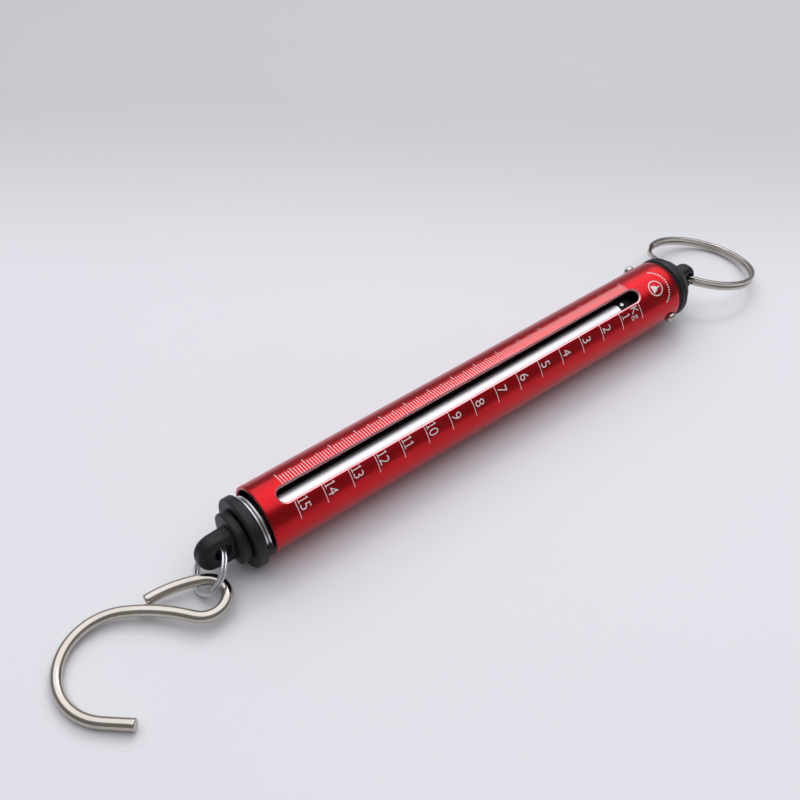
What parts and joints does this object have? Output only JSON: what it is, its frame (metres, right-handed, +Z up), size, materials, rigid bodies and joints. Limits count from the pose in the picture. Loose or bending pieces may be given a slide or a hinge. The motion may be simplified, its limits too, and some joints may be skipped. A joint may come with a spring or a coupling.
{
  "type": "hanging spring scale",
  "caption": "Tubular hanging spring scale: slotted outer tube with a graduated side, spring-loaded inner tube, key ring at the top and an S-hook at the foot.",
  "frame": {"origin": "centre of the bounding box in plan, on the plane the scale lies on", "axes": "+X along the tube from the hook end to the key-ring end, +Z up from the surface it lies on, with the slot and scale facing up and towards -Y"},
  "size_m": [0.2682, 0.052, 0.0221],
  "materials": {
    "red_anodised": "satin red anodising",
    "black_plastic": "fine matte texture",
    "stainless": "drawn and polished wire",
    "spring_steel": "drawn wire, lightly oiled",
    "nickel": "polished nickel plate",
    "zinc": "pale zinc plate",
    "bright_strip": "fine brushed",
    "dark_rubber": "matte"
  },
  "bodies": {
    "housing": {"outer_tube": "red_anodised", "top_cap": "black_plastic", "cap_seat_ring": "dark_rubber", "buffer_ring": "dark_rubber", "cap_screw_front": "nickel", "cap_screw_rear": "nickel", "spring_pin_upper": "stainless", "extension_spring": "spring_steel"},
    "slider": {"inner_tube": "black_plastic", "guide_collar": "black_plastic", "pointer_strip": "bright_strip", "strip_stud": "nickel", "flange_collar": "black_plastic", "wire_band": "zinc", "spring_pin_lower": "stainless", "eye_plug": "black_plastic", "stem_washer": "stainless"},
    "link": {"link_ring": "zinc"},
    "hook": {"s_hook": "stainless"},
    "hanger": {"key_ring": "nickel"}
  },
  "joints": [
    {"name": "weighing_slide", "type": "slide", "parent": "housing", "child": "slider", "axis": [-1, 0, 0], "range_m": [0, 0.13], "stiffness_N_per_m": 1132, "deforming": ["extension_spring"]},
    {"name": "link_swing", "type": "hinge", "parent": "slider", "child": "link", "pos_m": [-0.08128, 0.00242, 0.01001], "axis": [0, 1, 0], "range_deg": [-35, 105]},
    {"name": "hook_swing", "type": "hinge", "parent": "link", "child": "hook", "pos_m": [-0.0872, -0.00458, 0.00531], "axis": [-0.146, 0.9893, 0], "range_deg": [-22, 45]},
    {"name": "key_ring_swing", "type": "hinge", "parent": "housing", "child": "hanger", "pos_m": [0.0993, 0.00242, 0.01141], "axis": [0, 1, 0], "range_deg": [-120, 95]}
  ]
}
